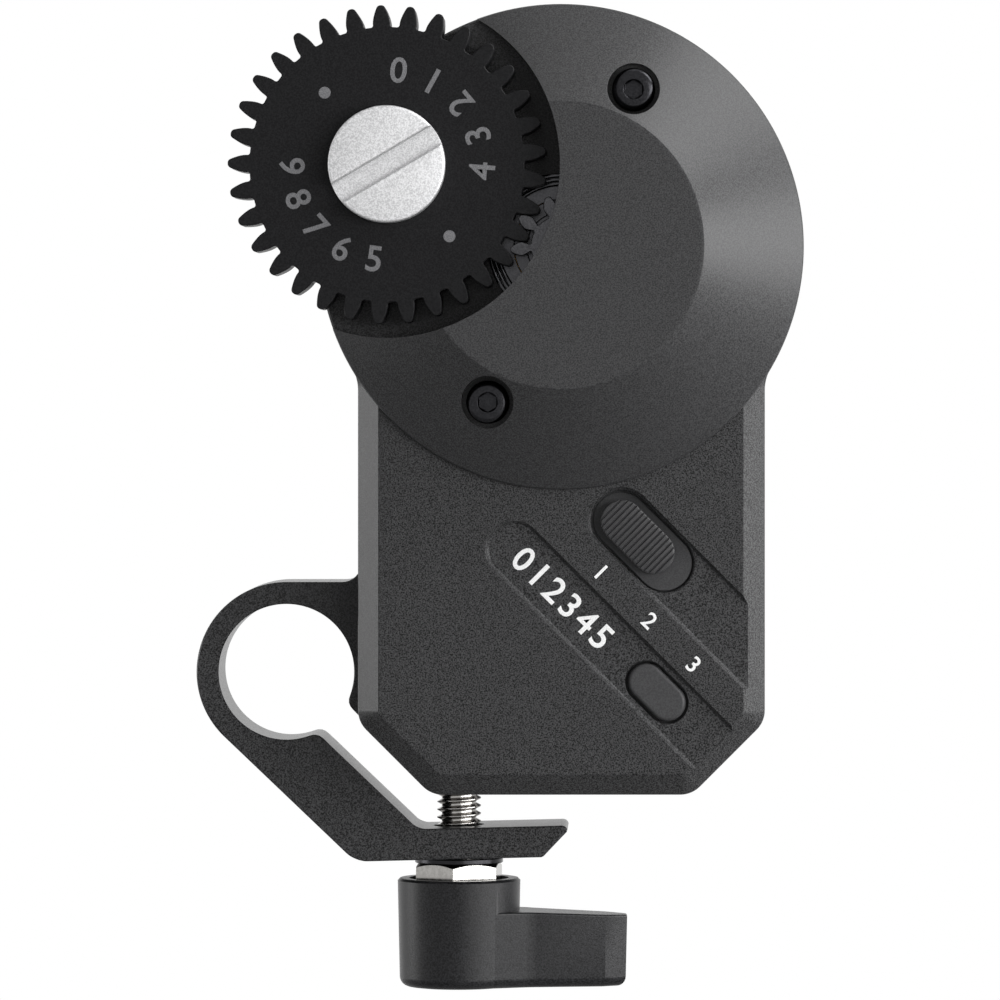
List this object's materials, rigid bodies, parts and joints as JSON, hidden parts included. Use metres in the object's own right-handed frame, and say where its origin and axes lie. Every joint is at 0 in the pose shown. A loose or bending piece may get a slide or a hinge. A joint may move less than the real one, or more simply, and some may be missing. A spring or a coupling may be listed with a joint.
{
  "type": "follow focus unit",
  "caption": "Compact motor-driven follow focus unit: clamp housing for a 12 mm rod, sloping gear cover, large lens gear, mode switch, set button and re-settable clamp lever.",
  "frame": {"origin": "centre of the rod clamp's bore, halfway along it", "axes": "+Y runs along the rod from the gear's face to the back, +X from the clamp to the housing's far side, +Z from the clamp up to the gear's end; the gear's face looks along -Y"},
  "size_m": [0.0544, 0.0325, 0.0882],
  "materials": {
    "black_anodised": "bead-blasted, black anodised",
    "black_cover": "smooth matt black anodised",
    "gear_black": "hard black anodised",
    "black_oxide_steel": "black oxide",
    "silver_blasted": "fine bead-blasted",
    "ground_steel": "ground",
    "nickel": "bright nickel",
    "zinc_lever": "fine black powder coat",
    "bronze": "sintered",
    "inner_aluminium": "clear anodised",
    "motor_steel": "zinc plated",
    "magnet": "plain",
    "laminations": "plain",
    "brass_gear": "machined",
    "circuit_board": "solder mask",
    "black_plastic": "moulded",
    "soft_black_plastic": "moulded, fine grain",
    "spring_steel": "drawn"
  },
  "bodies": {
    "housing": {"main_housing": "black_anodised", "gear_cover": "black_cover", "cover_screws": "black_oxide_steel", "back_cover": "black_anodised", "back_cover_screws": "black_oxide_steel", "drive_bearing_outer_rings": "ground_steel", "drive_bearing_balls": "ground_steel", "output_bearing_outer_ring": "ground_steel", "output_bearing_balls": "ground_steel", "output_bearing_shield": "ground_steel", "output_bush": "bronze", "encoder_board": "circuit_board", "carrier_plate": "inner_aluminium", "carrier_screws": "black_oxide_steel", "middle_gear_pin": "ground_steel", "motor_can": "motor_steel", "motor_end_cap": "black_plastic", "motor_bushes": "bronze", "motor_stator": "laminations", "motor_screws": "black_oxide_steel", "control_board": "circuit_board", "board_chips": "black_plastic", "board_screws": "black_oxide_steel", "cable_socket": "nickel", "slide_switch": "black_plastic", "switch_tray": "soft_black_plastic", "tact_switch": "black_plastic"},
    "drive_gear": {"drive_gear": "gear_black", "drive_shaft": "ground_steel", "shaft_clip": "spring_steel", "coin_screw": "silver_blasted", "drive_bearing_inner_rings": "ground_steel"},
    "output_shaft": {"pinion_shaft": "ground_steel", "output_gear": "brass_gear", "output_bearing_inner_ring": "ground_steel", "encoder_magnet": "magnet"},
    "middle_gear": {"middle_gear": "brass_gear"},
    "rotor": {"motor_magnet": "magnet", "motor_shaft": "ground_steel", "motor_pinion": "brass_gear"},
    "mode_knob": {"mode_knob": "soft_black_plastic", "switch_slider": "black_plastic"},
    "set_button": {"set_button": "soft_black_plastic", "tact_plunger": "soft_black_plastic"},
    "clamp_washer": {"clamp_washer": "black_oxide_steel"},
    "clamp_screw": {"clamp_screw": "nickel", "lever_screw": "black_oxide_steel", "lever_spring": "spring_steel"},
    "lever": {"lever": "zinc_lever"}
  },
  "joints": [
    {"name": "drive_gear_spin", "type": "hinge", "parent": "housing", "child": "drive_gear", "pos_m": [0.00959, -0.0165, 0.04513], "axis": [0, 1, 0], "continuous": true},
    {"name": "output_spin", "type": "hinge", "parent": "housing", "child": "output_shaft", "pos_m": [0.02482, -0.0165, 0.03803], "axis": [0, 1, 0], "continuous": true},
    {"name": "middle_gear_spin", "type": "hinge", "parent": "housing", "child": "middle_gear", "pos_m": [0.02482, -0.007, 0.02403], "axis": [0, 1, 0], "continuous": true},
    {"name": "rotor_spin", "type": "hinge", "parent": "housing", "child": "rotor", "pos_m": [0.02482, -0.004, 0.01363], "axis": [0, 1, 0], "continuous": true},
    {"name": "mode_switch_slide", "type": "slide", "parent": "housing", "child": "mode_knob", "axis": [0.7071, 0, -0.7071], "range_m": [0, 0.0015]},
    {"name": "set_button_press", "type": "slide", "parent": "housing", "child": "set_button", "axis": [0, 1, 0], "range_m": [0, 0.0003], "stiffness_N_per_m": 400, "springref_m": -0.0008},
    {"name": "washer_slide", "type": "slide", "parent": "housing", "child": "clamp_washer", "axis": [0, 0, 1], "range_m": [-0.0014, 0]},
    {"name": "clamp_screw_turn", "type": "hinge", "parent": "clamp_washer", "child": "clamp_screw", "pos_m": [0.0154, 0, -0.018], "axis": [0, 0, 1], "range_deg": [-720, 0]},
    {"name": "lever_lift", "type": "slide", "parent": "clamp_screw", "child": "lever", "axis": [0, 0, -1], "range_m": [0, 0.0025], "stiffness_N_per_m": 300, "springref_m": -0.0015, "deforming": ["lever_spring"]}
  ],
  "couplings": [
    {"joint": "output_spin", "follows": "drive_gear_spin", "ratio": -3.6667},
    {"joint": "middle_gear_spin", "follows": "drive_gear_spin", "ratio": 11},
    {"joint": "rotor_spin", "follows": "drive_gear_spin", "ratio": -36.667},
    {"joint": "clamp_screw_turn", "follows": "washer_slide", "rad_per_m": 8976}
  ]
}
